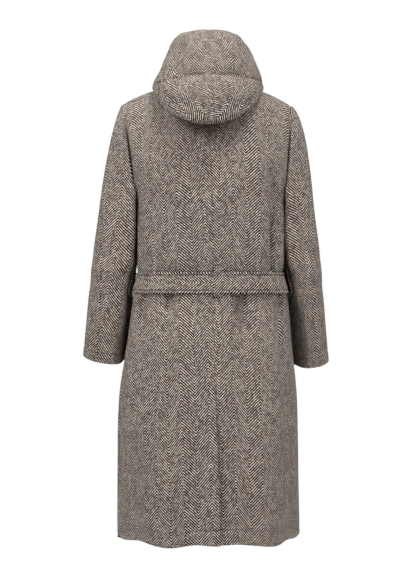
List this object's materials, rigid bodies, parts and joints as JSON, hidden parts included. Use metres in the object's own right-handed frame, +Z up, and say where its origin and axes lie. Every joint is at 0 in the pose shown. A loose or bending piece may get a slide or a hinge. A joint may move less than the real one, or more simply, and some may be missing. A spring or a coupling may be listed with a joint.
{
  "type": "hooded coat",
  "caption": "Long herringbone wool coat, filled out as worn: hood up and slouched at the back neck, set-in sleeves, tied belt in loops, centre-back vent; hollow inside.",
  "frame": {"origin": "base of the wearer's neck, in the coat's middle plane, level with where the shoulders carry the coat", "axes": "+X to the wearer's right, +Y to the coat's front, +Z up"},
  "size_m": [0.6384, 0.331, 1.3093],
  "materials": {
    "coat_wool": "grey-brown herringbone wool tweed, matt, with a soft nap",
    "belt_wool": "the same herringbone wool tweed, doubled and edge-stitched"
  },
  "bodies": {
    "root": {"bodice_back_left": "coat_wool", "bodice_back_right": "coat_wool", "skirt_back_left": "coat_wool", "skirt_back_right": "coat_wool", "vent_underlap": "coat_wool", "bodice_front_left": "coat_wool", "bodice_front_right": "coat_wool", "skirt_front_left": "coat_wool", "skirt_front_right": "coat_wool", "hood_left": "coat_wool", "hood_right": "coat_wool", "sleeve_left_back": "coat_wool", "sleeve_left_front": "coat_wool", "sleeve_right_back": "coat_wool", "sleeve_right_front": "coat_wool", "belt": "belt_wool", "belt_knot": "belt_wool", "belt_end_left": "belt_wool", "belt_end_right": "belt_wool", "belt_loop_back": "belt_wool", "belt_loop_left": "belt_wool", "belt_loop_right": "belt_wool"}
  },
  "joints": []
}
